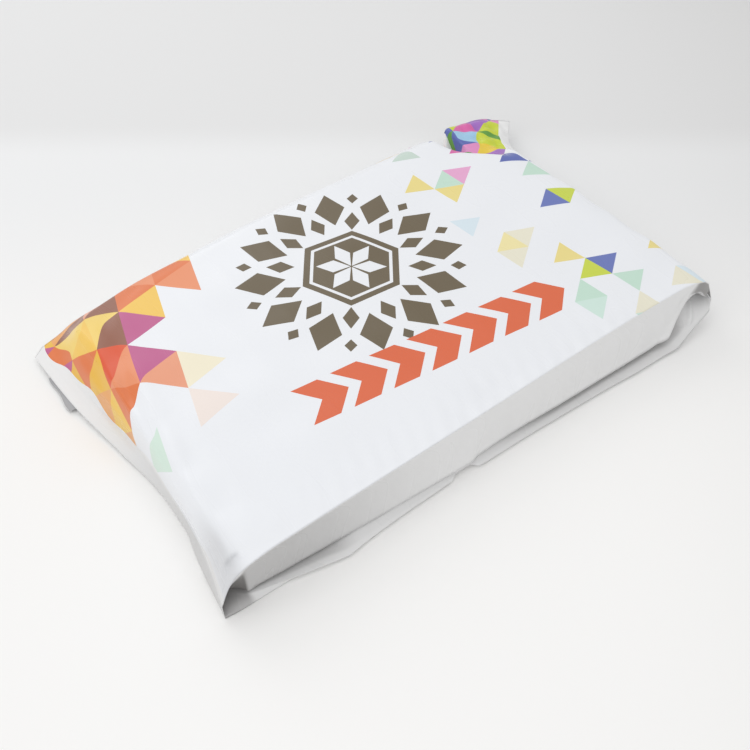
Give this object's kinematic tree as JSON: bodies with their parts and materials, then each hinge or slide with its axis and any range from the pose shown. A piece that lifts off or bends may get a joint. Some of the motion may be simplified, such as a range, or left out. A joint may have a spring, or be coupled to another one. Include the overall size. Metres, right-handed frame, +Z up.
{
  "type": "poly mailer bag",
  "caption": "Filled and sealed white film mailer lying flat, with a folded bottom gusset along the front edge, side seams and a folded closure at the back.",
  "frame": {"origin": "middle of the bag's footprint, on the floor it lies on", "axes": "+X along the gusset edge, from the corner drawn in to the raised pocket; +Y from the gusset towards the folded closure; +Z up out of the printed panel"},
  "size_m": [0.624, 0.395, 0.054],
  "materials": {
    "white_film": "soft gloss polyethylene film, white outside and grey inside, printed with pale and bright triangles round a brown and orange emblem"
  },
  "bodies": {
    "root": {"mailer_bag": "white_film"}
  },
  "joints": []
}
